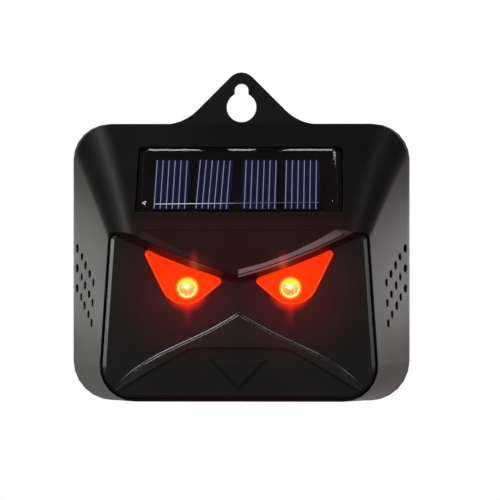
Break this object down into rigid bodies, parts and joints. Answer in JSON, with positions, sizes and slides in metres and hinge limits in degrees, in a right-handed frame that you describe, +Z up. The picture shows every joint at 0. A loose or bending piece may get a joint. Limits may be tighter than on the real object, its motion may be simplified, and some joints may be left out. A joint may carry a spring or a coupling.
{
  "type": "solar ultrasonic pest repeller",
  "caption": "Wall-hung solar pest repeller with a sloped solar window, lit eye lenses under a V-shaped visor, side sound grilles, a keyhole hanging tab and a rear slide switch.",
  "frame": {"origin": "middle of the back cover's flat outer face, halfway up the body", "axes": "+Y out of the back face towards the wall, +Z up, +X to the right seen from the front"},
  "size_m": [0.0844, 0.032, 0.0825],
  "materials": {
    "black_abs": "satin moulded black ABS",
    "black_abs_back": "satin moulded black ABS, fine spark texture",
    "orange_lens": "polished translucent orange-red acrylic",
    "led_epoxy": "clear epoxy lamp, lit warm yellow",
    "clear_resin": "clear glossy resin",
    "silicon": "dark blue silicon cell with fine silver fingers",
    "dark_board": "black circuit board",
    "green_board": "green solder mask",
    "steel": "zinc-plated steel",
    "rubber": "soft black rubber",
    "foam": "closed-cell foam",
    "aluminium": "drawn aluminium can",
    "cell_wrap": "plain shrink wrap",
    "chip_plastic": "moulded epoxy",
    "red_wire": "red insulation",
    "black_wire": "black insulation",
    "switch_plastic": "moulded nylon knob"
  },
  "bodies": {
    "housing": {"back_cover": "black_abs_back", "battery_cell": "cell_wrap", "battery_contact_minus": "steel", "battery_contact_plus": "steel", "battery_lead_black": "black_wire", "battery_lead_red": "red_wire", "battery_spring": "steel", "board_screw_1": "steel", "board_screw_2": "steel", "board_screw_3": "steel", "board_screw_4": "steel", "boost_coil": "chip_plastic", "capacitor": "aluminium", "circuit_board": "green_board", "controller_chip": "chip_plastic", "cover_screw_1": "steel", "cover_screw_2": "steel", "cover_screw_3": "steel", "cover_screw_4": "steel", "cover_seal": "rubber", "eye_lens_left": "orange_lens", "eye_lens_right": "orange_lens", "face_plate": "black_abs", "front_housing": "black_abs", "led_left": "led_epoxy", "led_right": "led_epoxy", "panel_pad": "foam", "panel_resin": "clear_resin", "solar_board": "dark_board", "solar_cell_1": "silicon", "solar_cell_2": "silicon", "solar_cell_3": "silicon", "solar_cell_4": "silicon", "solar_lead_black": "black_wire", "solar_lead_red": "red_wire", "switch_body": "steel", "switch_lead": "red_wire", "transducer_foam_left": "foam", "transducer_foam_right": "foam", "transducer_lead_left": "black_wire", "transducer_lead_right": "black_wire", "transducer_left": "aluminium", "transducer_right": "aluminium"},
    "slider": {"switch_slider": "switch_plastic"}
  },
  "joints": [
    {"name": "switch_slide", "type": "slide", "parent": "housing", "child": "slider", "axis": [-1, 0, 0], "range_m": [0, 0.002]}
  ]
}
